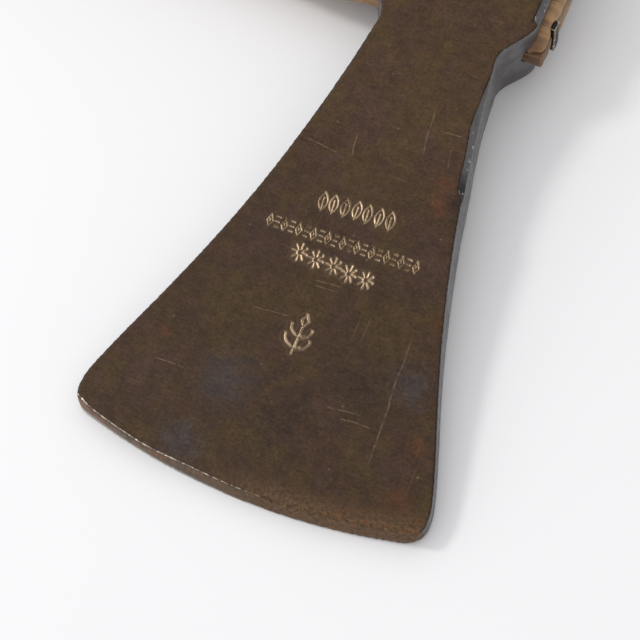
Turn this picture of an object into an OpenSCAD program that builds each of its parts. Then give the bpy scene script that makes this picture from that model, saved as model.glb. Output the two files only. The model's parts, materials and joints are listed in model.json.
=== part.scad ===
// Small broad axe lying on its side, flat back up, as it comes to rest on a bench.
// X runs along the haft with the grip at -X, Y from the edge (-Y) to the poll (+Y), Z up.
// Every piece is drawn in the axe's own frame, where the flat back is the plane z = 0 and the
// eye's centre is at x = y = 0, and is then laid down on its edge, its eye and its knob.

/* [Blade] */
// Straight distance between the two corners of the edge
edge_w = 96; // [70:1:120]
// How far the edge bulges beyond the line between its corners
edge_bulge = 7.3; // [3:0.1:10]
// Radius of the rounded corners of the edge
corner_r = 6; // [2:0.2:7]
// Thickness of the blunt edge
land_t = 4.4; // [3:0.1:6]
// How far the top arris of the blunt edge is set back from its foot
land_setback = 1.6; // [0.4:0.1:2.4]
// Distance from the corners' line to the narrowest place of the neck
blade_l = 125; // [100:1:150]
// Width of the neck at its narrowest
neck_w = 33; // [26:1:40]
// Thickness of the blade where it meets the swell of the eye
neck_t = 13.8; // [9:0.2:16]

/* [Eye and poll] */
// Length of the eye block along the haft
eye_l = 46; // [42:1:56]
// Thickness of the head at the eye
eye_t = 27; // [25:0.5:32]
// Long axis of the oval eye
hole_l = 36; // [30:1:40]
// Short axis of the oval eye
hole_w = 17; // [14:0.5:18]
// Distance from the eye's centre to the poll face
poll_y = 44; // [40:1:54]
// Length of the poll face along the haft
poll_l = 40; // [34:1:46]
// Thickness of the poll
poll_t = 24; // [20:0.5:26]
// Chamfer on the long corners of the eye block and the poll
block_chamfer = 2; // [0.8:0.2:3]

/* [Haft] */
// Length of the haft from its end in the eye to the end of the knob
haft_l = 405; // [320:5:480]
// How far the tongue stands out of the eye
proud = 3; // [1:0.5:5]
// Depth of the grip, measured across the blade's plane direction
grip_depth = 31; // [26:1:36]
// Thickness of the grip
grip_t = 21.5; // [18:0.5:24]
// Depth of the knob at the end of the haft
knob_depth = 41; // [34:1:46]
// How far the grip swings towards the poll
sweep = 11; // [0:1:16]

/* [Wedges] */
// Thickness of the wooden wedge at its outer end
wedge_t = 5.2; // [3:0.2:6]
// Depth of the wooden wedge in the eye
wedge_depth = 33; // [20:1:40]
// Thickness of each steel wedge at its outer end
cross_t = 3; // [2:0.2:4]
// Width of each steel wedge
cross_w = 12.5; // [9:0.5:13]
// Depth of each steel wedge in the wood
cross_depth = 17; // [10:1:22]
// Distance between the two steel wedges
cross_pitch = 17; // [12:1:20]

/* [Hidden] */

// Stations of the head along Y, measured from the eye's centre.
neck_y = -26;
corner_y = neck_y - blade_l;
edge_y = corner_y - edge_bulge;
shoulder_y = -13;
poll_start_y = 24;

// Where the underside starts to swell from the blade's taper, and where the eye is full.
swell_start_y = -64;
swell_end_y = -8;
cheek_end_y = 10;
side_steps = 28;

// How many steps each curve is drawn in.
edge_steps = 24;
flank_steps = 24;
corner_steps = 6;
shoulder_steps = 8;
oval_steps = 36;

// Values that only have to clear the solid that they cut.
clear = 1;
far = 300;

function mix(a, b, t) = a + (b - a) * t;
function unit_step(t) = min(1, max(0, t));
function smooth(t) = let (u = unit_step(t)) u * u * (3 - 2 * u);
function bezier(p, t) =
    pow(1 - t, 3) * p[0] + 3 * pow(1 - t, 2) * t * p[1] + 3 * (1 - t) * t * t * p[2] + pow(t, 3) * p[3];
function mirrored(points) = [for (i = [len(points) - 1:-1:0]) [-points[i].x, points[i].y]];
function along(a, b, d) = a + (b - a) * d / norm(b - a);

// Edge: an arc through both corners.
edge_r = (pow(edge_w / 2, 2) + pow(edge_bulge, 2)) / (2 * edge_bulge);
edge_angle = asin(edge_w / 2 / edge_r);
function edge_point(a) = [edge_r * sin(a), edge_y + edge_r * (1 - cos(a))];

// Flank: a hollow curve from the corner of the edge in to the neck.
corner = [edge_w / 2, corner_y];
flank = [
    corner,
    corner + [-0.01 * edge_w, 0.195 * edge_w],
    [neck_w / 2 + 0.096 * edge_w, neck_y - 0.80 * edge_w],
    [neck_w / 2, neck_y],
];

// The rounded corner: an arc that touches the edge and the flank.
corner_in = edge_point(edge_angle - 4);
corner_out = bezier(flank, 0.18);
corner_turn = acos(((corner_in - corner) * (corner_out - corner))
    / (norm(corner_in - corner) * norm(corner_out - corner)));
corner_reach = corner_r / tan(corner_turn / 2);
corner_mid = (along(corner, corner_in, corner_reach) + along(corner, corner_out, corner_reach)) / 2;
corner_centre = along(corner, corner_mid, corner_r / sin(corner_turn / 2));
function corner_point(t) =
    let (a = along(corner, corner_in, corner_reach) - corner_centre,
         b = along(corner, corner_out, corner_reach) - corner_centre,
         m = mix(a, b, t))
    corner_centre + m * corner_r / norm(m);

// Half of the plan outline, from the middle of the edge round to the middle of the poll face.
half_outline = concat(
    [for (i = [0:edge_steps])
        let (p = edge_point(edge_angle * i / edge_steps))
        if (norm(p - corner) > corner_reach) p],
    [for (i = [0:corner_steps]) corner_point(i / corner_steps)],
    [for (i = [1:flank_steps])
        let (p = bezier(flank, i / flank_steps))
        if (norm(p - corner) > corner_reach) p],
    [for (i = [1:shoulder_steps])
        let (t = i / shoulder_steps)
        [mix(neck_w, eye_l, smooth(t)) / 2, mix(neck_y, shoulder_y, t)]],
    [[eye_l / 2, poll_start_y], [poll_l / 2, poll_y]]
);
outline = concat(half_outline, mirrored([for (i = [1:len(half_outline) - 1]) half_outline[i]]));

// Depth of the underside below the flat back, at a station y.
blade_taper = (neck_t - land_t) / (swell_start_y - edge_y);
function blade_depth(y) = land_t + blade_taper * (y - edge_y);
function depth(y) =
    y < cheek_end_y
    ? mix(blade_depth(y), eye_t, smooth((y - swell_start_y) / (swell_end_y - swell_start_y)))
    : mix(eye_t, poll_t, smooth((y - cheek_end_y) / (poll_start_y - cheek_end_y)));
underside = concat(
    [[edge_y - clear, -blade_depth(edge_y - clear)]],
    [for (i = [0:side_steps])
        let (y = mix(swell_start_y, poll_start_y, i / side_steps))
        [y, -depth(y)]],
    [[poll_y, -poll_t]]
);

// The land is a cone about the edge's centre. Its foot, a little inside the outline, is the edge's
// lowest line, and the axe lies on the middle of it and on the swell of its eye.
land_trim = 0.3;
foot = [edge_y + land_trim, -blade_depth(edge_y + land_trim)];
lie_angle = max([for (i = [1:len(underside) - 1])
    atan2(foot.y - underside[i].y, underside[i].x - foot.x)]);
function lie_down(p) = [
    p.x,
    p.y * cos(lie_angle) - p.z * sin(lie_angle),
    p.y * sin(lie_angle) + p.z * cos(lie_angle)
];
edge_foot = lie_down([0, foot.x, foot.y]);

// Haft: oval rings along a curved centre line, from the outer end of the tongue to the knob.
eye_z = -eye_t / 2;
tongue_x = eye_l / 2 + proud;
seat_x = -eye_l / 2 - 1.5;
shoulder_depth = hole_l + 3;
shoulder_t = hole_w + 5;
shoulder_run = 9;
grip_run = 75;
knob_run = 62;
knob_round = 13;
ring_pitch = 8;
round_rings = 7;
haft_run = haft_l - (tongue_x - seat_x);
haft_line = [[0, 0], [0.35 * haft_run, 0], [0.72 * haft_run, 2 * sweep], [haft_run, -0.35 * sweep]];

// The knob is as thick as it must be to reach the bench.
knob_y = haft_line[3].y + 0.6;
knob_height = lie_down([0, knob_y, eye_z]).z - edge_foot.z;
knob_t = 2 * sqrt(pow(knob_height, 2) - pow(knob_depth / 2 * sin(lie_angle), 2)) / cos(lie_angle);

function haft_size(s, start, shoulder, grip, knob) =
    s < shoulder_run
    ? mix(start, shoulder, smooth(s / shoulder_run))
    : s < haft_run - knob_run
    ? mix(shoulder, grip, smooth((s - shoulder_run) / grip_run))
    : mix(grip, knob, smooth((s - haft_run + knob_run) / (knob_run - knob_round)));
function round_off(s) = sqrt(1 - pow(unit_step((s - haft_run + knob_round) / knob_round) * 0.93, 2));
function oval(l, w) = [for (i = [0:oval_steps - 1])
    let (a = 360 * i / oval_steps)
    [l / 2 * cos(a), w / 2 * sin(a)]];
function haft_ring(s) =
    let (c = bezier(haft_line, s / haft_run),
         l = haft_size(s, hole_l, shoulder_depth, grip_depth, knob_depth) * round_off(s),
         w = haft_size(s, hole_w, shoulder_t, grip_t, knob_t) * round_off(s))
    [for (p = oval(l, w)) [seat_x - c.x, c.y + p.x, eye_z + p.y]];
haft_stations = concat(
    [for (i = [0:4]) shoulder_run * i / 4],
    [for (s = [shoulder_run + ring_pitch:ring_pitch:haft_run - knob_round - 1]) s],
    [for (i = [0:round_rings]) haft_run - knob_round * (1 - sin(90 * i / round_rings))]
);
haft_rings = concat(
    [[for (p = oval(hole_l, hole_w)) [tongue_x, p.x, eye_z + p.y]]],
    [for (s = haft_stations) haft_ring(s)]
);

// Moves a piece from the axe's own frame to its resting place on the bench, centred on the origin.
span_x = [seat_x - haft_run, max([for (p = outline) p.x])];
span_y = [edge_foot.y, lie_down([0, poll_y, -poll_t]).y];
module laid_down() {
    translate([-(span_x[0] + span_x[1]) / 2, -(span_y[0] + span_y[1]) / 2, -edge_foot.z])
        rotate([lie_angle, 0, 0])
            children();
}

// A prism along X whose outline is drawn in Y and Z.
module prism_x(x0, x1, points) {
    translate([x0, 0, 0])
        rotate([90, 0, 90])
            linear_extrude(x1 - x0)
                polygon(points);
}

// Closed skin over rings that have the same number of points.
module skin(rings) {
    n = len(rings[0]);
    last = (len(rings) - 1) * n;
    faces = concat(
        [[for (i = [0:n - 1]) i]],
        [for (r = [0:len(rings) - 2], i = [0:n - 1])
            let (j = (i + 1) % n)
            [r * n + i, (r + 1) * n + i, (r + 1) * n + j, r * n + j]],
        [[for (i = [n - 1:-1:0]) last + i]]
    );
    polyhedron([for (ring = rings) each ring], faces);
}

// Slopes the edge's end face back from its foot to its top arris.
module land_cut() {
    slope = land_setback / land_t;
    foot_r = edge_r - land_trim;
    low = land_t + 2;
    translate([0, edge_y + edge_r, 0])
        rotate_extrude($fn = 360)
            polygon([
                [foot_r - slope * (land_t + clear), clear],
                [edge_r + 2 * clear, clear],
                [edge_r + 2 * clear, -low],
                [foot_r + slope * (low - land_t), -low],
            ]);
}

// Planes at 45 degrees that take off the four long corners of the eye block.
module block_corner_cut() {
    long = poll_y - shoulder_y + 2;
    for (side = [-1, 1], z = [0, -eye_t])
        translate([side * eye_l / 2, shoulder_y + long / 2, z])
            rotate([0, 45, 0])
                cube([block_chamfer * sqrt(2), long, block_chamfer * sqrt(2)], center = true);
}

module axe_head() {
    color("#4b4038")
        laid_down()
            difference() {
                intersection() {
                    translate([0, 0, -eye_t - clear])
                        linear_extrude(eye_t + clear)
                            polygon(outline);
                    prism_x(-far, far, concat([[edge_y - clear, 0]], underside,
                        [[poll_y + clear, -poll_t], [poll_y + clear, 0]]));
                }
                prism_x(-eye_l, eye_l, [for (p = oval(hole_l, hole_w)) [p.x, eye_z + p.y]]);
                land_cut();
                block_corner_cut();
            }
}

// The wooden wedge's outline, thick at the outer end of the tongue and thin in the eye.
module wedge_taper(t, w, depth_in, tip_t, out) {
    translate([0, w / 2, 0])
        rotate([90, 0, 0])
            linear_extrude(w)
                polygon([
                    [tongue_x + out, -t / 2],
                    [tongue_x + out, t / 2],
                    [tongue_x - depth_in, tip_t / 2],
                    [tongue_x - depth_in, -tip_t / 2],
                ]);
}

wedge_tip_t = 0.8;
cross_tip_t = 0.5;
cross_out = 0.8;

module wooden_taper() {
    translate([0, 0, eye_z])
        wedge_taper(wedge_t, hole_l, wedge_depth, wedge_tip_t, 0);
}

module cross_taper(side) {
    translate([0, side * cross_pitch / 2, eye_z])
        rotate([90, 0, 0])
            wedge_taper(cross_t, cross_w, cross_depth, cross_tip_t, cross_out);
}

module haft() {
    color("#a9804f")
        laid_down()
            difference() {
                skin(haft_rings);
                wooden_taper();
                cross_taper(-1);
                cross_taper(1);
            }
}

module eye_wedge() {
    color("#7d5a36")
        laid_down()
            difference() {
                intersection() {
                    wooden_taper();
                    prism_x(0, tongue_x, [for (p = oval(hole_l, hole_w)) [p.x, eye_z + p.y]]);
                }
                cross_taper(-1);
                cross_taper(1);
            }
}

module cross_wedge_front() {
    color("#5d5a57")
        laid_down()
            cross_taper(-1);
}

module cross_wedge_rear() {
    color("#5d5a57")
        laid_down()
            cross_taper(1);
}

axe_head();
haft();
eye_wedge();
cross_wedge_front();
cross_wedge_rear();
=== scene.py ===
"""A small broad axe lying on a bench, flat back up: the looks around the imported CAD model.

Places on the axe are given in its own frame, in millimetres: u runs across the blade along the
haft, v from the foot of the edge towards the poll, and w up out of the flat back.
"""
import json
import math

import bmesh
import bpy
import numpy as np
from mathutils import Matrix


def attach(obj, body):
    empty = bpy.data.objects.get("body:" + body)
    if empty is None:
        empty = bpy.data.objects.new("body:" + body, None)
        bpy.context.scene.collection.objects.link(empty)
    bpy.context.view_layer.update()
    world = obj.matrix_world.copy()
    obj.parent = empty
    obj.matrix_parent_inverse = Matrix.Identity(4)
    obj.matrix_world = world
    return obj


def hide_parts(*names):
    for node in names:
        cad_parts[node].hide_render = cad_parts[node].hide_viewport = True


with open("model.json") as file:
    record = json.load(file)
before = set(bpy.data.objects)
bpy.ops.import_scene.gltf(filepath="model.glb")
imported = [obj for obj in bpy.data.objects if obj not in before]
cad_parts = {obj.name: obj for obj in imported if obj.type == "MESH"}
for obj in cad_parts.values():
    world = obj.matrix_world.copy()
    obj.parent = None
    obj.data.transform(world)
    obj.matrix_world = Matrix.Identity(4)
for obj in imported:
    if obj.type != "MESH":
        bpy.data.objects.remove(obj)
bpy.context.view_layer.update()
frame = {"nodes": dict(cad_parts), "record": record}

MM = 0.001

# Where the axe's own frame lies, read from its two flat mounts.
MOUNTS = {mount["name"]: mount for mount in frame["record"]["mounts"]}
ON_BACK = np.array(MOUNTS["flat_back"]["pos_m"])
UP = np.array(MOUNTS["flat_back"]["axis"])
TO_POLL = np.array(MOUNTS["poll_face"]["axis"])
ACROSS = np.cross(TO_POLL, UP)


def vertex_array(mesh):
    points = np.empty(len(mesh.vertices) * 3)
    mesh.vertices.foreach_get("co", points)
    return points.reshape(-1, 3)


def normal_array(mesh):
    normals = np.empty(len(mesh.vertices) * 3)
    mesh.vertices.foreach_get("normal", normals)
    return normals.reshape(-1, 3)


HEAD_POINTS = vertex_array(frame["nodes"]["axe_head"].data)
EDGE_FOOT = ((HEAD_POINTS - ON_BACK) @ TO_POLL).min()
ORIGIN = ON_BACK + TO_POLL * EDGE_FOOT


def to_axe(points):
    """World points in metres as u, v, w in millimetres."""
    return (points - ORIGIN) @ np.stack([ACROSS, TO_POLL, UP], axis=1) / MM


def to_world(u, v, w):
    """A place u, v, w in millimetres as a world point in metres."""
    return ORIGIN + (ACROSS * u + TO_POLL * v + UP * w) * MM


# ---------------------------------------------------------------- numbers that follow a rule

def smooth(t):
    t = np.clip(t, 0.0, 1.0)
    return t * t * (3.0 - 2.0 * t)


def lattice_noise(points, pitch, seed):
    """Smooth random values from -1 to 1 with one lattice cell every pitch, in the points' units."""
    table = np.random.default_rng(seed).uniform(-1.0, 1.0, 4096)
    cell = np.floor(points / pitch).astype(np.int64)
    part = points / pitch - cell
    part = part * part * (3.0 - 2.0 * part)
    total = np.zeros(len(points))
    for corner in np.ndindex(2, 2, 2):
        key = (cell + corner) @ np.array([73856093, 19349663, 83492791])
        weight = np.prod(np.where(corner, part, 1.0 - part), axis=1)
        total += weight * table[key & 4095]
    return total


# ---------------------------------------------------------------- mesh work

def set_points(mesh, points):
    mesh.vertices.foreach_set("co", points.ravel())
    mesh.update()


def edge_array(mesh):
    ends = np.empty(len(mesh.edges) * 2, dtype=np.int64)
    mesh.edges.foreach_get("vertices", ends)
    return ends.reshape(-1, 2)


def neighbour_mean(values, ends):
    """Each vertex's mean of its neighbours' values."""
    total = np.zeros_like(values)
    np.add.at(total, ends[:, 0], values[ends[:, 1]])
    np.add.at(total, ends[:, 1], values[ends[:, 0]])
    count = np.bincount(ends.ravel(), minlength=len(values)).astype(float)
    return total / np.maximum(count, 1.0)[:, None]


def relax(mesh, rounds):
    """Rounds sharp corners a little by moving each vertex half way to its neighbours' mean."""
    points = vertex_array(mesh)
    ends = edge_array(mesh)
    for _ in range(rounds):
        points = 0.5 * (points + neighbour_mean(points, ends))
    set_points(mesh, points)


def convexity(mesh):
    """How sharply the surface turns outwards at each vertex, in 1/mm; negative in hollows."""
    points = vertex_array(mesh) / MM
    ends = edge_array(mesh)
    lengths = np.linalg.norm(points[ends[:, 0]] - points[ends[:, 1]], axis=1)
    total = np.zeros(len(points))
    np.add.at(total, ends[:, 0], lengths)
    np.add.at(total, ends[:, 1], lengths)
    count = np.maximum(np.bincount(ends.ravel(), minlength=len(points)), 1)
    reach = np.maximum(total / count, 1e-3)
    inward = points - neighbour_mean(points, ends)
    return 4.0 * np.einsum("ij,ij->i", inward, normal_array(mesh)) / reach ** 2


def worked_copy(node, name, voxel, rounds):
    """A finely meshed copy of a CAD node with its corners eased, to be worked further."""
    piece = bpy.data.objects.new(name, frame["nodes"][node].data.copy())
    bpy.context.collection.objects.link(piece)
    remesh = piece.modifiers.new("remesh", "REMESH")
    remesh.mode = "VOXEL"
    remesh.voxel_size = voxel * MM
    graph = bpy.context.evaluated_depsgraph_get()
    mesh = bpy.data.meshes.new_from_object(piece.evaluated_get(graph))
    piece.modifiers.clear()
    piece.data = mesh
    mesh.materials.clear()
    relax(mesh, rounds)
    mesh.shade_smooth()
    return piece


def write_marks(mesh, name, worn, cut, land, flank):
    """Stores four masks per vertex for the material to read."""
    layer = mesh.attributes.new(name, "FLOAT_COLOR", "POINT")
    values = np.stack([worn, cut, land, flank], axis=1).astype(np.float32)
    layer.data.foreach_set("color", np.clip(values, 0.0, 1.0).ravel())


# ---------------------------------------------------------------- punched marks

# Rows of smith's ornament punched in the flat back: v of the row's middle, how far it climbs
# from its first punch to its last, u of its ends, how many punches, and how high each one is,
# in mm; and how wide its strokes are beside the plain stroke.
LEAF_ROW = dict(v=79.5, rise=1.6, start=-9.9, end=8.2, count=7, size=5.0, width=1.2)
LOZENGE_ROW = dict(v=70.1, rise=2.1, start=-20.4, end=18.9, count=21, size=3.4, width=0.95)
ROSETTE_ROW = dict(v=63.4, rise=-0.5, start=-9.9, end=8.6, count=5, size=5.0, width=1.5)
SPRIG = dict(u=-1.4, v=43.8, size=11.0, width=1.7)

STROKE_REACH = 0.44
STROKE_DEPTH = 0.45
RIM_HEIGHT = 0.05


def arc_points(centre, radius, start, end, steps):
    angles = np.radians(np.linspace(start, end, steps))
    return np.stack([centre[0] + radius * np.cos(angles), centre[1] + radius * np.sin(angles)], axis=1)


def leaf(size):
    """An upright leaf with its vein."""
    left = arc_points((0.39 * size, 0.0), 0.61 * size, 130, 230, 9)
    right = arc_points((-0.39 * size, 0.0), 0.61 * size, -50, 50, 9)
    vein = np.array([(0.0, -0.5), (0.0, 0.16)]) * size
    return [left, right, vein]


def lozenge(size):
    """A diamond with a dot in it, as wide as half its height."""
    outline = np.array([(-0.24, 0.0), (0.0, 0.46), (0.24, 0.0), (0.0, -0.46), (-0.24, 0.0)]) * size
    return [outline, np.array([(0.0, -0.06), (0.0, 0.06)]) * size]


def tick(size):
    """A pair of short level bars."""
    return [np.array([(-0.15, y), (0.15, y)]) * size for y in (-0.40, 0.0, 0.40)]


def rosette(size):
    """Eight short petals round a bare middle."""
    petals = []
    for turn in np.radians(np.arange(0, 360, 45)):
        outwards = np.array([0.88 * math.cos(turn), math.sin(turn)])
        petals.append(np.array([0.17 * outwards, 0.44 * outwards]) * size)
    return petals


def sprig(size):
    """A stem with two pairs of leaves under a bud."""
    stem = np.array([(0.0, -0.48), (0.0, 0.16)]) * size
    bud = np.array([(0.0, 0.22), (0.09, 0.35), (0.0, 0.48), (-0.09, 0.35), (0.0, 0.22)]) * size
    leaves = []
    for side in (-1, 1):
        for foot, reach, rise in ((-0.34, 0.30, 0.24), (-0.06, 0.25, 0.22)):
            turn = np.radians(np.linspace(0, 90, 7))
            curl = np.stack([side * reach * np.sin(turn), foot + rise * (1 - np.cos(turn))], axis=1)
            leaves.append(curl * size)
    return [stem, bud] + leaves


def punch_row(row, shapes, rng):
    """Strokes of one row, each punch a little out of line as a hand sets it."""
    strokes = []
    for index in range(row["count"]):
        share = index / (row["count"] - 1)
        run = row["end"] - row["start"]
        centre = np.array([row["start"] + share * run, row["v"] + (share - 0.5) * row["rise"]])
        centre = centre + rng.uniform(-0.03, 0.03, 2) * row["size"]
        turn = math.atan2(row["rise"], run) + math.radians(rng.uniform(-3.0, 3.0))
        spin = np.array([[math.cos(turn), -math.sin(turn)], [math.sin(turn), math.cos(turn)]])
        lean = rng.uniform(-0.9, 0.9, 2) / row["size"]
        force = rng.uniform(0.6, 1.15)
        for line in shapes[index % len(shapes)](row["size"]):
            strokes.append((line @ spin.T + centre, centre, lean, force, row["width"]))
    return strokes


def all_strokes():
    rng = np.random.default_rng(7)
    middle = np.array([SPRIG["u"], SPRIG["v"]])
    strokes = punch_row(LEAF_ROW, [leaf], rng)
    strokes += punch_row(LOZENGE_ROW, [lozenge, tick], rng)
    strokes += punch_row(ROSETTE_ROW, [rosette], rng)
    for line in sprig(SPRIG["size"]):
        strokes.append((line + middle, middle, np.array([0.02, 0.03]), 1.25, SPRIG["width"]))
    return strokes


def distance_to_line(places, line):
    """Each place's distance to a line of straight stretches."""
    nearest = np.full(len(places), np.inf)
    for start, end in zip(line[:-1], line[1:]):
        along = end - start
        share = np.clip((places - start) @ along / max(along @ along, 1e-9), 0.0, 1.0)
        gap = np.linalg.norm(places - start - share[:, None] * along, axis=1)
        nearest = np.minimum(nearest, gap)
    return nearest


def punch_depth(places, strokes):
    """How deep the punches cut at each u, v place, and how far a rim stands up round them."""
    depth = np.zeros(len(places))
    nearest = np.full(len(places), np.inf)
    reach = SPRIG["width"] * STROKE_REACH + 0.6
    unevenness = 0.05 * lattice_noise(np.column_stack([places, 0.0 * places[:, 0]]), 0.7, 11)
    for line, centre, lean, force, width in strokes:
        low, high = line.min(axis=0) - reach, line.max(axis=0) + reach
        near = np.flatnonzero(((places > low) & (places < high)).all(axis=1))
        if not len(near):
            continue
        gap = distance_to_line(places[near], line) / width + unevenness[near]
        press = force + (places[near] - centre) @ lean
        cut = STROKE_DEPTH * press * np.clip(1.0 - gap / STROKE_REACH, 0.0, 0.85)
        depth[near] = np.maximum(depth[near], cut)
        nearest[near] = np.minimum(nearest[near], gap)
    rim_gap = nearest - STROKE_REACH
    rim = RIM_HEIGHT * np.exp(-(np.where(np.isfinite(rim_gap), rim_gap, 9.0) / 0.14) ** 2)
    return depth, np.where(depth > 0.01, 0.0, rim)


# ---------------------------------------------------------------- the head

# The neck's filed corners, in mm: v where they start and where they have run out, over how long
# a stretch they fade, and how wide they are on the side away from the haft and on the haft's side.
CHAMFER_START = 90.0
CHAMFER_END = 133.0
CHAMFER_FADE = 14.0
FAR_CHAMFER = 2.1
NEAR_CHAMFER = 0.5
SHOULDER_V = 145.0

# The blunt end face of the edge, in mm: the radius of its foot, how far back from that the marks
# along its upper arris are centred, 0.3 mm behind the CAD's own arris, and how thick it is.
EDGE_RADIUS = 161.5
LAND_SETBACK = 1.9
LAND_HEIGHT = 4.4

# How far the flanks stand out for each mm of depth.
FLANK_SLOPE = 0.085


def refine_details(mesh):
    """Splits the faces under the punched marks twice and those along the edge's arris once."""
    areas = [
        (row["start"] - row["size"] * 0.7, row["end"] + row["size"] * 0.7,
         row["v"] - row["size"] * 0.7, row["v"] + row["size"] * 0.7)
        for row in (LEAF_ROW, LOZENGE_ROW, ROSETTE_ROW)
    ]
    half = SPRIG["size"] * 0.6
    areas.append((SPRIG["u"] - half, SPRIG["u"] + half, SPRIG["v"] - half, SPRIG["v"] + half))
    work = bmesh.new()
    work.from_mesh(mesh)
    for level in range(2):
        work.edges.ensure_lookup_table()
        middles = np.array([(e.verts[0].co + e.verts[1].co) / 2 for e in work.edges])
        u, v, w = to_axe(middles).T
        chosen = np.zeros(len(middles), dtype=bool)
        for left, right, low, high in areas:
            chosen |= (u > left) & (u < right) & (v > low) & (v < high) & (w > -0.4)
        if level == 0:
            chosen |= land_arris(u, v, w) < 1.2
        edges = [work.edges[i] for i in np.flatnonzero(chosen)]
        bmesh.ops.subdivide_edges(work, edges=edges, cuts=1, use_grid_fill=True)
    work.to_mesh(mesh)
    work.free()


def half_width(u, v, w, stations):
    """Half the width of the head just under the flat back, at stations along v."""
    wall = (w > -4.0) & (w < -0.8)
    widths = [np.abs(u[wall & (np.abs(v - s) < 0.6)]).max() for s in stations]
    return np.array(widths)


def chamfer_neck(mesh):
    """Files the neck's upper corners, broadly on the side away from the haft, finely on the other."""
    points = vertex_array(mesh)
    u, v, w = to_axe(points).T
    stations = np.arange(CHAMFER_START - 4.0, SHOULDER_V, 1.0)
    half = np.interp(v, stations, half_width(u, v, w, stations))
    thinner = 1.0 - 0.4 * smooth((v - 110.0) / CHAMFER_FADE)
    far_side = FAR_CHAMFER * smooth((v - CHAMFER_START) / 5.0) * thinner
    near_side = NEAR_CHAMFER * smooth((v - CHAMFER_START - 6.0) / 22.0)
    runs_out = 1.0 - smooth((v - CHAMFER_END + CHAMFER_FADE) / CHAMFER_FADE)
    wanted = np.where(u > 0.0, far_side, near_side) * runs_out
    wobble = 0.10 * lattice_noise(np.stack([u * 0.0, v, w * 0.0], axis=1), 7.0, 21)
    short = np.where(
        (v > CHAMFER_START) & (v < SHOULDER_V),
        wanted * (1.0 + wobble) - (half - np.abs(u)) + w,
        0.0,
    )
    move = np.clip(short, 0.0, 4.0) / 2.0
    points = points - (np.sign(u) * move * MM)[:, None] * ACROSS - (move * MM)[:, None] * UP
    set_points(mesh, points)


def slope_flanks(mesh):
    """Lets the blade's flanks stand out a little further the deeper they go."""
    points = vertex_array(mesh)
    u, v, w = to_axe(points).T
    sideways = smooth(np.abs(normal_array(mesh) @ ACROSS) / 0.7)
    reach = FLANK_SLOPE * np.clip(-w - 0.5, 0.0, 13.0) * (1.0 - smooth((v - 95.0) / 25.0))
    points = points + (np.sign(u) * reach * sideways * MM)[:, None] * ACROSS
    set_points(mesh, points)


def land_setback(u):
    """How far the arris stands back from the foot: about half as far on the haft's side."""
    upright = smooth((-10.0 - u) / 18.0) * smooth((u + 48.0) / 7.0)
    return LAND_SETBACK * (1.0 - 0.45 * upright)


def straighten_land(mesh):
    """Brings the top of the blunt end face out on the haft's side, where it is more upright."""
    points = vertex_array(mesh)
    u, v, w = to_axe(points).T
    radial = np.stack([u, v - EDGE_RADIUS], axis=1)
    distance = np.linalg.norm(radial, axis=1)
    outward = radial / distance[:, None]
    near_edge = smooth((distance - EDGE_RADIUS + LAND_SETBACK + 5.0) / 5.0)
    near_top = smooth(1.0 + w / LAND_HEIGHT)
    reach = (LAND_SETBACK - land_setback(u)) * near_edge * near_top * MM
    sideways = (reach * outward[:, 0])[:, None] * ACROSS
    lengthwise = (reach * outward[:, 1])[:, None] * TO_POLL
    set_points(mesh, points + sideways + lengthwise)


def land_mask(u, v, normals):
    """Near 1 on the blunt end face of the edge."""
    radial = np.stack([u, v - EDGE_RADIUS], axis=1)
    distance = np.linalg.norm(radial, axis=1)
    outward = (normals @ ACROSS * radial[:, 0] + normals @ TO_POLL * radial[:, 1]) / distance
    return smooth((distance - EDGE_RADIUS + LAND_SETBACK + 0.6) / 0.8) * smooth((outward - 0.35) / 0.3)


def land_arris(u, v, w):
    """Distance in mm to the line along the arris of the flat back and the blunt end face."""
    distance = np.hypot(u, v - EDGE_RADIUS)
    return np.hypot(distance - EDGE_RADIUS + land_setback(u), w)


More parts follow.
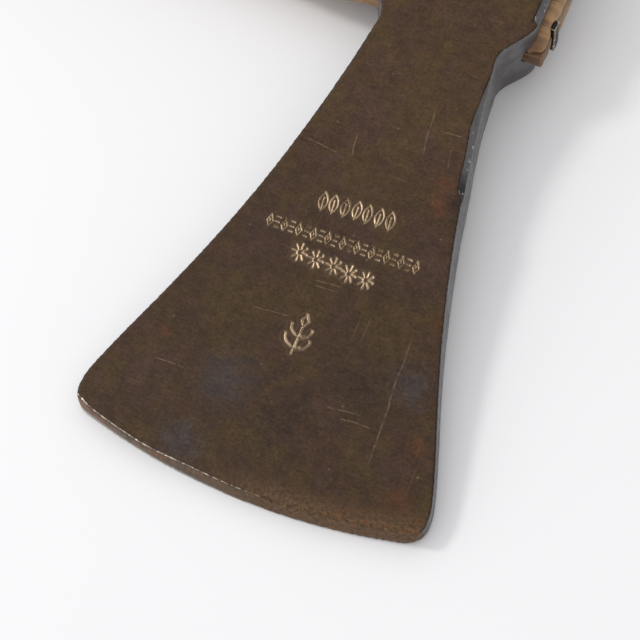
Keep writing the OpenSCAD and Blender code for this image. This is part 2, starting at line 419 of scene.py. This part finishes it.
def build_head():
    piece = worked_copy("axe_head", "head", voxel=0.4, rounds=1)
    mesh = piece.data
    slope_flanks(mesh)
    straighten_land(mesh)
    chamfer_neck(mesh)
    refine_details(mesh)
    points = vertex_array(mesh)
    normals = normal_array(mesh)
    places = to_axe(points)
    u, v, w = places.T
    corner = np.clip(convexity(mesh), 0.0, 2.0) / 2.0
    land = land_mask(u, v, normals)
    side = np.abs(normals @ ACROSS)
    flank = smooth((side - 0.45) / 0.3) * (1.0 - land)

    # Forged faces: broad hollows, small dents and pits; corners chipped by use.
    broad = 0.10 * lattice_noise(places, 24.0, 1) + 0.035 * lattice_noise(places, 7.0, 2)
    small = 0.014 * lattice_noise(places, 2.2, 3) + 0.007 * lattice_noise(places, 0.9, 4)
    pits = -0.16 * smooth((lattice_noise(places, 1.7, 5) - 0.62) / 0.3)
    chips = -0.10 * corner * smooth((lattice_noise(places, 2.3, 6) - 0.35) / 0.5)
    from_arris = land_arris(u, v, w)
    arris = np.exp(-(from_arris / 0.45) ** 2)
    ragged = 0.16 * arris * (0.9 * lattice_noise(places, 0.9, 8) + lattice_noise(places, 3.1, 10))
    under = smooth((-w - 1.5) / 3.0)
    height = (broad + small) * (0.35 + 0.65 * under) + pits * (0.25 + 0.75 * under) + chips + ragged

    flat = (w > -0.6) & (normals @ UP > 0.8)
    depth = np.zeros(len(points))
    rim = np.zeros(len(points))
    depth[flat], rim[flat] = punch_depth(places[flat][:, :2], all_strokes())
    moved = points + normals * (height * MM)[:, None] + UP * ((rim - depth) * MM)[:, None]
    # Nothing sinks into the bench.
    moved[:, 2] = np.maximum(moved[:, 2], 0.0)
    set_points(mesh, moved)

    # The punched walls that face the grip, on the key light's side, and the edge are painted bright with
    # a painted highlight. The others are left darker, as painted shade over grime.
    turned = normal_array(mesh)
    lit_wall = smooth(0.35 - 1.1 * (turned @ ACROSS) - 0.7 * (turned @ TO_POLL - normals @ TO_POLL))
    lit_wall = 0.4 + 0.6 * lit_wall
    # The arris of the edge is painted bright, partly as bare worn metal and partly as a painted
    # highlight, most of all towards the haft's side, where the key light stands.
    arris_wear_and_highlight = np.exp(-(from_arris / 0.30) ** 2) * (0.45 + 0.55 * smooth((25.0 - u) / 30.0))
    worn = np.maximum(0.25 * corner * (0.75 + 0.5 * lattice_noise(places, 3.0, 9)), arris_wear_and_highlight)
    # The cut mask: the punches' depth, weighted by the painted highlight and shade of the walls above,
    # and their rims.
    cut = np.maximum(smooth(depth / STROKE_DEPTH * 3.0) * lit_wall, 0.22 * rim / RIM_HEIGHT)
    write_marks(mesh, "marks", worn, cut, land, flank)
    mesh.materials.append(patina_steel())
    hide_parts("axe_head")
    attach(piece, "root")
    return piece


# ---------------------------------------------------------------- haft and wedges

def build_haft():
    piece = worked_copy("haft", "haft_wood", voxel=0.8, rounds=6)
    mesh = piece.data
    points = vertex_array(mesh)
    normals = normal_array(mesh)
    places = to_axe(points)
    outside = smooth((-places[:, 0] - 24.0) / 3.0)
    stretched = places * np.array([0.07, 1.0, 1.0])
    facets = 0.16 * lattice_noise(places * np.array([0.25, 1.0, 1.0]), 9.0, 31)
    grain = 0.05 * lattice_noise(stretched, 0.9, 32)
    dents = -0.35 * smooth((lattice_noise(places, 6.0, 33) - 0.66) / 0.25)
    set_points(mesh, points + normals * ((facets + grain + dents) * outside * MM)[:, None])
    worn = np.clip(convexity(mesh), 0.0, 1.0)
    write_marks(mesh, "marks", worn, np.zeros(len(points)), np.zeros(len(points)), outside)
    mesh.materials.append(ash_wood("ash_wood", (0.36, 0.205, 0.092), 1.0))
    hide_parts("haft")
    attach(piece, "root")
    return piece


def build_eye_wedge():
    piece = worked_copy("eye_wedge", "wedge_wood", voxel=0.3, rounds=2)
    mesh = piece.data
    points = vertex_array(mesh)
    places = to_axe(points)
    rough = 0.10 * lattice_noise(places * np.array([0.3, 1.0, 1.0]), 0.8, 41)
    set_points(mesh, points + normal_array(mesh) * (rough * MM)[:, None])
    zero = np.zeros(len(points))
    write_marks(mesh, "marks", np.clip(convexity(mesh), 0.0, 1.0), zero, zero, zero)
    mesh.materials.append(ash_wood("wedge_wood", (0.24, 0.14, 0.07), 0.6))
    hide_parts("eye_wedge")
    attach(piece, "root")
    return piece


def build_cross_wedge(node, name, seed):
    piece = worked_copy(node, name, voxel=0.2, rounds=2)
    mesh = piece.data
    points = vertex_array(mesh)
    normals = normal_array(mesh)
    places = to_axe(points)
    top = places[:, 0].max()
    burr = 0.18 * smooth((places[:, 0] - top + 1.2) / 1.2) * (1.0 + lattice_noise(places, 1.2, seed))
    dents = 0.09 * lattice_noise(places, 1.8, seed + 1)
    lift = burr * (1.0 - np.abs(normals @ ACROSS)) + dents
    set_points(mesh, points + normals * (lift * MM)[:, None])
    zero = np.zeros(len(points))
    write_marks(mesh, "marks", np.clip(convexity(mesh), 0.0, 2.0) / 2.0, zero, zero, zero + 0.3)
    mesh.materials.append(patina_steel("wedge_steel"))
    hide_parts(node)
    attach(piece, "root")
    return piece


# ---------------------------------------------------------------- materials

class Nodes:
    """Short calls for building a node material."""

    def __init__(self, name):
        self.material = bpy.data.materials.new(name)
        self.material.use_nodes = True
        self.tree = self.material.node_tree
        self.shader = self.tree.nodes["Principled BSDF"]

    def put(self, kind, **settings):
        node = self.tree.nodes.new(kind)
        for key, value in settings.items():
            setattr(node, key, value)
        return node

    def link(self, source, target):
        self.tree.links.new(source, target)

    def feed(self, socket, value):
        if isinstance(value, bpy.types.NodeSocket):
            self.link(value, socket)
        else:
            socket.default_value = value

    def axe_places(self, stretch=(1.0, 1.0, 1.0)):
        """Object coordinates turned into u, v and w in millimetres, then stretched."""
        offset = self.put("ShaderNodeVectorMath", operation="SUBTRACT")
        self.link(self.put("ShaderNodeTexCoord").outputs["Object"], offset.inputs[0])
        offset.inputs[1].default_value = tuple(ORIGIN)
        joined = self.put("ShaderNodeCombineXYZ")
        for axis, factor, socket in zip((ACROSS, TO_POLL, UP), stretch, joined.inputs):
            self.link(self.dot(offset.outputs[0], axis * factor / MM), socket)
        return joined.outputs[0]

    def split(self, places):
        node = self.put("ShaderNodeSeparateXYZ")
        self.link(places, node.inputs[0])
        return node.outputs

    def dot(self, places, direction):
        node = self.put("ShaderNodeVectorMath", operation="DOT_PRODUCT")
        self.link(places, node.inputs[0])
        node.inputs[1].default_value = tuple(direction)
        return node.outputs["Value"]

    def cloud(self, places, u, v, radius):
        """A soft ragged patch round u, v: 1 in its middle and 0 outside."""
        flat = self.put("ShaderNodeVectorMath", operation="MULTIPLY")
        self.link(places, flat.inputs[0])
        flat.inputs[1].default_value = (1.0, 1.0, 0.0)
        gap = self.put("ShaderNodeVectorMath", operation="DISTANCE")
        self.link(flat.outputs[0], gap.inputs[0])
        gap.inputs[1].default_value = (u, v, 0.0)
        ragged = self.times(self.noise(places, radius * 0.5, 6.0, 0.65), radius * 2.6)
        away = self.plus(gap.outputs["Value"], ragged)
        return self.ramp(away, radius * 1.2, radius * 2.7, 1.0, 0.0)

    def scratch(self, places, start, end, width):
        """A fine uneven line scratched from one u, v place to another."""
        run = np.subtract(end, start)
        length = float(np.hypot(*run))
        along = np.array([run[0], run[1], 0.0]) / length
        across = np.array([-along[1], along[0], 0.0])
        first = np.array([start[0], start[1], 0.0])
        passed = self.minus(self.dot(places, along), float(along @ first))
        beside = self.minus(self.dot(places, across), float(across @ first))
        wander = self.times(self.minus(self.noise(places, 9.0, 2.0), 0.5), 1.6)
        gap = self.math("ABSOLUTE", self.plus(beside, wander))
        line = self.ramp(gap, 0.3 * width, width, 1.0, 0.0)
        line = self.times(line, self.ramp(passed, 0.0, 0.2 * length))
        line = self.times(line, self.ramp(passed, 0.8 * length, length, 1.0, 0.0))
        return self.times(line, self.ramp(self.noise(places, 1.8, 3.0), 0.36, 0.6, 0.25, 1.0))

    def noise(self, places, pitch, detail=3.0, rough=0.55, distort=0.0):
        """Noise from about 0 to 1 with features about one pitch apart, in millimetres."""
        node = self.put("ShaderNodeTexNoise")
        self.link(places, node.inputs["Vector"])
        node.inputs["Scale"].default_value = 1.0 / pitch
        node.inputs["Detail"].default_value = detail
        node.inputs["Roughness"].default_value = rough
        node.inputs["Distortion"].default_value = distort
        return node.outputs["Fac"]

    def math(self, operation, a, b=0.0):
        node = self.put("ShaderNodeMath", operation=operation)
        self.feed(node.inputs[0], a)
        self.feed(node.inputs[1], b)
        return node.outputs[0]

    def plus(self, a, b):
        return self.math("ADD", a, b)

    def minus(self, a, b):
        return self.math("SUBTRACT", a, b)

    def times(self, a, b):
        return self.math("MULTIPLY", a, b)

    def most(self, a, b):
        return self.math("MAXIMUM", a, b)

    def ramp(self, value, low, high, to_low=0.0, to_high=1.0):
        """A value spread smoothly from low..high to to_low..to_high."""
        node = self.put("ShaderNodeMapRange", interpolation_type="SMOOTHSTEP")
        for socket, number in zip(node.inputs, (value, low, high, to_low, to_high)):
            self.feed(socket, number)
        return node.outputs["Result"]

    def mix(self, share, a, b, blend="MIX"):
        """Colour a turned into colour b by share."""
        node = self.put("ShaderNodeMix", data_type="RGBA", blend_type=blend)
        self.feed(node.inputs[0], share)
        for socket, colour in ((node.inputs[6], a), (node.inputs[7], b)):
            self.feed(socket, colour if isinstance(colour, bpy.types.NodeSocket) else (*colour, 1.0))
        return node.outputs[2]

    def marks(self):
        """The four masks of the mesh: worn, which on the head also holds a painted highlight along the
        edge's arris; cut, which also holds painted highlight and shade on the punched walls; land and
        flank.
        """
        layer = self.put("ShaderNodeAttribute", attribute_name="marks")
        split = self.put("ShaderNodeSeparateColor")
        self.link(layer.outputs["Color"], split.inputs[0])
        return split.outputs[0], split.outputs[1], split.outputs[2], layer.outputs["Alpha"]

    def bump(self, height, distance, strength):
        node = self.put("ShaderNodeBump")
        node.inputs["Strength"].default_value = strength
        node.inputs["Distance"].default_value = distance
        self.link(height, node.inputs["Height"])
        return node.outputs[0]


BROWN = (0.054, 0.0275, 0.0140)
OLIVE = (0.063, 0.0360, 0.0120)
MAUVE = (0.060, 0.0300, 0.0205)
BLUE = (0.054, 0.0430, 0.0400)
RUST = (0.098, 0.034, 0.0120)
DARK = (0.018, 0.010, 0.006)
DUSKY = (0.036, 0.0200, 0.0125)
SOOT = (0.026, 0.022, 0.021)
HAIRLINE = (0.16, 0.105, 0.062)
SPECK = (0.34, 0.26, 0.18)
BARE = (0.52, 0.47, 0.40)
TAN = (0.45, 0.325, 0.205)
GRIME_AND_SHADE = (0.10, 0.064, 0.037)
GREY = (0.165, 0.155, 0.157)
DULL_GREY = (0.100, 0.092, 0.090)
FILED_DARK = (0.120, 0.117, 0.117)
FILED_PALE = (0.165, 0.160, 0.160)
GOLD_DARK = (0.058, 0.031, 0.014)
GOLD_PALE = (0.172, 0.099, 0.046)
ORANGE = (0.17, 0.062, 0.022)
LAND_BROWN = (0.104, 0.078, 0.054)
COPPER = (0.165, 0.082, 0.046)
PALE_FOOT = (0.36, 0.335, 0.29)

# Clouds on the flat back: the tint, how strong it is, and u, v and radius of each.
CLOUDS = [
    (MAUVE, 0.9, [
        (-31.0, 22.0, 9.0), (-19.0, 66.0, 8.0), (21.0, 72.0, 9.0), (-6.0, 104.0, 8.0), (34.0, 22.0, 5.0),
    ]),
    (OLIVE, 0.9, [
        (20.0, 52.0, 9.0), (-4.0, 55.0, 9.0), (3.0, 112.0, 9.0), (-2.4, 16.4, 6.0), (-15.0, 47.0, 8.0),
    ]),
    (BLUE, 0.9, [(-13.5, 25.9, 8.0), (-17.5, 7.4, 6.5), (30.0, 42.0, 6.0)]),
    (RUST, 0.75, [
        (17.0, 95.0, 2.6), (18.5, 89.0, 3.6), (37.0, 28.0, 3.0), (38.0, 14.0, 4.0), (31.0, 60.0, 3.0),
        (-33.0, 32.0, 2.0),
    ]),
    (DUSKY, 0.9, [(18.0, 37.0, 9.0), (4.0, 22.0, 8.0)]),
    (DARK, 0.8, [(21.8, 90.5, 2.8), (24.0, 86.0, 2.2)]),
]

# Scratches on the flat back: from u, v to u, v, and how wide.
SCRATCHES = [
    ((25.0, 56.5), (28.2, 17.0), 0.26), ((10.2, 107.7), (17.1, 108.4), 0.30),
    ((6.7, 114.8), (9.5, 97.8), 0.26), ((14.9, 105.0), (16.4, 98.5), 0.24),
    ((-8.8, 99.5), (-7.8, 92.4), 0.24), ((-21.4, 93.2), (-10.4, 92.5), 0.22),
    ((16.3, 27.7), (25.6, 28.0), 0.24), ((12.0, 29.4), (22.0, 30.0), 0.2),
    ((-4.0, 58.6), (5.0, 59.4), 0.24), ((-3.0, 57.3), (4.0, 57.9), 0.2),
    ((-15.5, 46.0), (-4.5, 47.5), 0.22), ((-33.0, 24.5), (-24.0, 25.0), 0.22),
]


def clouded_skin(n, places, along_blade):
    """The brown skin, clouded and mottled, and lighter towards the poll."""
    colour = n.mix(n.ramp(n.noise(places, 13.0, 4.0), 0.42, 0.62), BROWN, OLIVE)
    mauve = n.ramp(n.noise(places, 9.0, 4.0, distort=0.6), 0.50, 0.68, 0.0, 0.8)
    colour = n.mix(mauve, colour, MAUVE)
    for tint, share, clouds in CLOUDS:
        for u, v, radius in clouds:
            colour = n.mix(n.times(n.cloud(places, u, v, radius), share), colour, tint)
    mottle = n.ramp(n.noise(places, 4.0, 7.0, 0.85), 0.25, 0.75, 0.58, 1.42)
    grit = n.ramp(n.noise(places, 0.8, 2.0, 0.8), 0.25, 0.75, 0.70, 1.30)
    colour = n.mix(1.0, colour, n.times(mottle, grit), "MULTIPLY")
    uneven = n.plus(along_blade, n.times(n.noise(places, 20.0), 40.0))
    return n.mix(1.0, colour, n.ramp(uneven, 80.0, 130.0, 0.80, 0.98), "MULTIPLY")


def scratched(n, places):
    """Hairlines along the edge, bolder in patches, a few long ones along the blade, and scratches."""
    hairs = n.ramp(n.noise(n.axe_places((0.10, 1.0, 1.0)), 0.4, 4.0, 0.7), 0.35, 0.8, 0.0, 0.12)
    fine = n.ramp(n.noise(n.axe_places((0.05, 1.0, 1.0)), 0.5, 1.0), 0.66, 0.76, 0.0, 0.4)
    patchy = n.ramp(n.noise(places, 12.0, 2.0), 0.46, 0.64)
    scratch = n.most(hairs, n.times(fine, patchy))
    long_lines = n.ramp(n.noise(n.axe_places((1.0, 0.03, 1.0)), 1.1, 0.0), 0.80, 0.84, 0.0, 0.35)
    scratch = n.most(scratch, long_lines)
    for start, end, width in SCRATCHES:
        scratch = n.most(scratch, n.times(n.scratch(places, start, end, width), 0.75))
    return scratch


def golden_tint(n, places, across_blade):
    """Golden brown speckled with orange towards the far corner of the edge."""
    golden = n.mix(n.ramp(n.noise(places, 0.9, 5.0, 0.8), 0.38, 0.64), GOLD_DARK, GOLD_PALE)
    orange = n.ramp(n.noise(places, 1.3, 3.0, 0.7), 0.52, 0.62, 0.0, 0.75)
    return n.mix(n.times(orange, n.ramp(across_blade, 8.0, 30.0)), golden, ORANGE)


def dark_arris_line(n, places, across_blade, from_edge):
    """A broken dark line painted along the arris where the flat back meets the blunt end face."""
    beside = n.math("ABSOLUTE", n.minus(from_edge, LAND_SETBACK + 0.2))
    arris_line = n.ramp(beside, 0.1, 0.4, 0.6, 0.0)
    arris_line = n.times(arris_line, n.ramp(n.noise(places, 2.2, 4.0, 0.7), 0.42, 0.62))
    return n.times(arris_line, n.ramp(across_blade, 14.0, 30.0, 1.0, 0.0))


def blunt_face(n, places, across_blade, height, plain_end, golden):
    """The blunt end face: coppery at the left, golden at the right, with a pale foot."""
    leftwards = n.ramp(across_blade, -22.0, -5.0, 1.0, 0.35)
    coppery = n.times(n.ramp(n.noise(places, 9.0, 5.0), 0.4, 0.65), leftwards)
    colour = n.mix(coppery, LAND_BROWN, COPPER)
    streaks = n.ramp(n.noise(n.axe_places((1.0, 0.25, 0.25)), 0.7, 4.0, 0.7), 0.3, 0.75, 0.72, 1.3)
    streaks = n.times(streaks, n.ramp(n.noise(places, 2.6, 4.0, 0.7), 0.3, 0.7, 0.78, 1.2))
    colour = n.mix(1.0, colour, streaks, "MULTIPLY")
    colour = n.mix(n.times(plain_end, 0.95), colour, golden)
    low = n.ramp(n.plus(height, n.noise(places, 3.0, 3.0)), -3.5, -2.5, 0.8, 0.0)
    pale_foot = n.times(low, n.ramp(across_blade, -15.0, 8.0, 1.0, 0.1))
    return n.mix(pale_foot, colour, PALE_FOOT)


def patina_steel(name="patina_steel"):
    """Old forged steel under a brown skin, clouded olive, mauve and blue, bright where it rubs, with
    painted highlight and shade on the punched walls, a painted highlight along the edge's arris and
    painted glints on the filed chamfer.
    """
    n = Nodes(name)
    places = n.axe_places()
    across_blade, along_blade, height = n.split(places)
    worn, cut, land, flank = n.marks()

    scratch = scratched(n, places)
    colour = n.mix(scratch, clouded_skin(n, places, along_blade), HAIRLINE)
    specks = n.ramp(n.noise(places, 0.8, 0.0), 0.86, 0.91, 0.0, 0.45)
    colour = n.mix(specks, colour, SPECK)

    # Towards the haft's far side the edge's face is as brown as the flat back, and both are golden.
    bowed = n.math("DIVIDE", n.times(across_blade, across_blade), 2.0 * EDGE_RADIUS)
    from_edge = n.minus(along_blade, bowed)
    plain_end = n.ramp(across_blade, -12.0, 10.0)
    golden = golden_tint(n, places, across_blade)
    golden_band = n.times(n.ramp(from_edge, 1.5, 9.0, 0.75, 0.0), plain_end)
    colour = n.mix(golden_band, colour, golden)
    rust = n.ramp(n.noise(places, 9.0, 6.0, 0.7), 0.60, 0.75, 0.0, 0.4)
    colour = n.mix(rust, colour, RUST)

    # The grey flanks, with the chamfer filed at the neck, its sooty end and a dark border.
    flank_colour = n.mix(n.ramp(n.noise(places, 6.0, 5.0), 0.35, 0.7), GREY, DULL_GREY)
    colour = n.mix(n.ramp(flank, 0.35, 0.8), colour, flank_colour)
    filed = n.times(n.ramp(height, -2.6, -1.9), n.ramp(along_blade, CHAMFER_START, CHAMFER_START + 3.0))
    filed = n.times(filed, n.ramp(flank, 0.5, 0.8))
    filed_colour = n.mix(n.ramp(n.noise(places, 1.5, 5.0, 0.7), 0.3, 0.7), FILED_DARK, FILED_PALE)
    uneven = n.plus(along_blade, n.times(n.noise(places, 2.5, 4.0, 0.7), 6.0))
    smudge = n.times(filed, n.ramp(uneven, 98.0, 105.0, 0.97, 0.0))
    colour = n.mix(n.times(filed, 0.85), colour, filed_colour)
    colour = n.mix(smudge, colour, SOOT)
    border = n.times(n.ramp(flank, 0.01, 0.2), n.ramp(flank, 0.45, 0.85, 1.0, 0.0))
    colour = n.mix(n.times(border, 0.95), colour, DARK)

    # The blunt end face, the punched marks with their painted highlight and shade, and the bright
    # places: worn metal, the painted highlight along the edge's arris and painted glints on the filed
    # chamfer.
    land_colour = blunt_face(n, places, across_blade, height, plain_end, golden)
    colour = n.mix(land, colour, land_colour)
    arris_line = n.times(dark_arris_line(n, places, across_blade, from_edge), plain_end)
    colour = n.mix(arris_line, colour, DARK)
    # Inside the punched marks: grime with painted shade where the walls turn from the key light, and
    # pale tan metal with a painted highlight where they turn towards it.
    colour = n.mix(n.ramp(cut, 0.02, 0.25, 0.0, 0.9), colour, GRIME_AND_SHADE)
    colour = n.mix(n.ramp(cut, 0.3, 1.0, 0.0, 0.95), colour, TAN)
    bright = n.ramp(n.times(worn, n.noise(places, 1.7, 4.0, 0.8)), 0.33, 0.53, 0.0, 0.9)
    # Painted glints on the filed chamfer.
    glints = n.times(filed, n.ramp(n.noise(places, 1.3, 3.0), 0.63, 0.70))
    bright = n.most(bright, n.times(glints, 0.9))
    colour = n.mix(bright, colour, BARE)
    n.link(colour, n.shader.inputs["Base Color"])

    metal = n.most(n.times(cut, 0.9), bright)
    metal = n.most(metal, n.times(flank, 0.6))
    metal = n.times(metal, n.minus(1.0, smudge))
    n.link(n.most(metal, 0.2), n.shader.inputs["Metallic"])
    rough = n.ramp(n.noise(places, 2.4, 5.0, 0.7), 0.3, 0.7, 0.42, 0.58)
    n.link(n.minus(rough, n.times(metal, 0.18)), n.shader.inputs["Roughness"])

    grain = n.times(n.noise(places, 0.5, 4.0, 0.7), 0.6)
    relief = n.plus(n.minus(grain, n.times(scratch, 0.8)), n.noise(places, 3.0, 3.0))
    n.link(n.bump(relief, 0.00006, 0.6), n.shader.inputs["Normal"])
    n.shader.inputs["Specular IOR Level"].default_value = 0.22
    return n.material


def shade(tint, *factors):
    """A colour made lighter or darker, by one factor or by one for each channel."""
    return tuple(channel * factor for channel, factor in zip(tint, factors * 3))


def ash_wood(name, tint, polish):
    """Ring-porous wood cut along the haft, darkened by hands and oil."""
    n = Nodes(name)
    places = n.axe_places()
    fibres = n.axe_places((0.035, 1.0, 1.0))
    worn = n.marks()[0]
    bend = n.noise(n.axe_places((0.012, 0.3, 0.3)), 7.0, 3.0)
    rings = n.put("ShaderNodeTexWave", wave_type="BANDS", bands_direction="Y")
    n.link(fibres, rings.inputs["Vector"])
    rings.inputs["Scale"].default_value = 0.09
    rings.inputs["Distortion"].default_value = 9.0
    rings.inputs["Detail"].default_value = 3.0
    rings.inputs["Detail Scale"].default_value = 0.6
    late = n.ramp(rings.outputs["Fac"], 0.35, 0.95, 0.0, 0.75)
    pores = n.ramp(n.noise(n.axe_places((0.05, 1.0, 1.0)), 0.45, 2.0), 0.56, 0.72)
    colour = n.mix(late, shade(tint, 1.25), shade(tint, 0.55))
    colour = n.mix(n.ramp(bend, 0.3, 0.7, 0.0, 0.45), colour, tint)
    colour = n.mix(n.times(pores, 0.65), colour, shade(tint, 0.3))
    streaky = n.axe_places((0.25, 1.0, 1.0))
    grime = n.ramp(n.noise(streaky, 14.0, 8.0, 0.72), 0.42, 0.66, 0.0, 0.8)
    dirt = n.ramp(n.noise(streaky, 2.2, 5.0, 0.75), 0.58, 0.74, 0.0, 0.6)
    grime = n.most(grime, dirt)
    colour = n.mix(grime, colour, shade(tint, 0.42, 0.34, 0.28))
    colour = n.mix(n.times(worn, 0.35), colour, shade(tint, 1.4))
    n.link(colour, n.shader.inputs["Base Color"])
    rough = n.ramp(n.noise(places, 12.0, 4.0), 0.3, 0.7, 0.62 - 0.22 * polish, 0.72 - 0.12 * polish)
    n.link(rough, n.shader.inputs["Roughness"])
    relief = n.minus(n.times(late, 0.4), n.plus(pores, dirt))
    n.link(n.bump(relief, 0.00012, 0.7), n.shader.inputs["Normal"])
    return n.material


# ---------------------------------------------------------------- stage

# The camera: level, looking down at the blade from the edge's side. Its target is in the axe's
# frame in mm, the angles are in degrees, the distance is in metres and the lens in mm.
CAMERA_TARGET = (1.85, 49.81, -2.08)
CAMERA_ELEVATION = 64.03
CAMERA_AZIMUTH = 23.63
CAMERA_DISTANCE = 0.5499
CAMERA_LENS = 123.0

# The key light stands off this way from the blade; distances and sizes in metres, power in watts.
KEY_TOWARDS = (-1.0, -0.05, 0.97)
KEY_DISTANCE = 1.2
KEY_SIZE = 0.2
KEY_POWER = 4.0
KEY_TINT = (1.0, 0.985, 0.97)
FLOOR_REACH = 3.0


def place_camera():
    camera = bpy.data.objects.new("camera", bpy.data.cameras.new("camera"))
    bpy.context.collection.objects.link(camera)
    elevation = math.radians(CAMERA_ELEVATION)
    azimuth = math.radians(CAMERA_AZIMUTH)
    away = np.array([
        math.sin(azimuth) * math.cos(elevation),
        -math.cos(azimuth) * math.cos(elevation),
        math.sin(elevation),
    ])
    camera.location = to_world(*CAMERA_TARGET) + away * CAMERA_DISTANCE
    camera.rotation_euler = (math.pi / 2 - elevation, 0.0, azimuth)
    camera.data.lens = CAMERA_LENS
    camera.data.sensor_width = 36.0
    camera.data.clip_start = 0.01
    bpy.context.scene.camera = camera


def hang_key_light():
    """A small square light high on the haft's side, aimed at the blade."""
    lamp = bpy.data.objects.new("key", bpy.data.lights.new("key", "AREA"))
    bpy.context.collection.objects.link(lamp)
    direction = np.array(KEY_TOWARDS) / np.linalg.norm(KEY_TOWARDS)
    target = to_world(0.0, 60.0, 0.0)
    lamp.location = target + direction * KEY_DISTANCE
    yaw = math.atan2(direction[1], direction[0]) + math.pi / 2
    lamp.rotation_euler = (math.acos(direction[2]), 0.0, yaw)
    lamp.data.shape = "SQUARE"
    lamp.data.size = KEY_SIZE
    lamp.data.energy = KEY_POWER
    lamp.data.color = KEY_TINT


def light_room():
    """A pale room, bright on the key light's side and dimmer on the other."""
    world = bpy.data.worlds.new("studio")
    world.use_nodes = True
    tree = world.node_tree
    side = tree.nodes.new("ShaderNodeVectorMath")
    side.operation = "DOT_PRODUCT"
    tree.links.new(tree.nodes.new("ShaderNodeTexCoord").outputs["Generated"], side.inputs[0])
    side.inputs[1].default_value = (-0.8, 0.0, 0.6)
    spread = tree.nodes.new("ShaderNodeMapRange")
    spread.interpolation_type = "SMOOTHSTEP"
    for socket, number in zip(list(spread.inputs)[1:], (-0.5, 1.0, 0.5, 1.17)):
        socket.default_value = number
    tree.links.new(side.outputs["Value"], spread.inputs["Value"])
    background = tree.nodes["Background"]
    background.inputs["Color"].default_value = (0.985, 0.985, 1.0, 1.0)
    tree.links.new(spread.outputs["Result"], background.inputs["Strength"])
    bpy.context.scene.world = world


def build_stage():
    mesh = bpy.data.meshes.new("floor")
    corners = [(x * FLOOR_REACH, y * FLOOR_REACH, 0.0) for x, y in ((-1, -1), (1, -1), (1, 1), (-1, 1))]
    mesh.from_pydata(corners, [], [(0, 1, 2, 3)])
    floor = bpy.data.objects.new("floor", mesh)
    bpy.context.collection.objects.link(floor)
    n = Nodes("pale_floor")
    n.shader.inputs["Base Color"].default_value = (0.86, 0.86, 0.865, 1.0)
    n.shader.inputs["Roughness"].default_value = 0.9
    n.shader.inputs["Specular IOR Level"].default_value = 0.1
    mesh.materials.append(n.material)
    light_room()
    hang_key_light()
    bpy.context.scene.view_settings.view_transform = "Standard"


place_camera()
build_stage()
build_head()
build_haft()
build_eye_wedge()
build_cross_wedge("cross_wedge_front", "steel_wedge_front", 51)
build_cross_wedge("cross_wedge_rear", "steel_wedge_rear", 61)
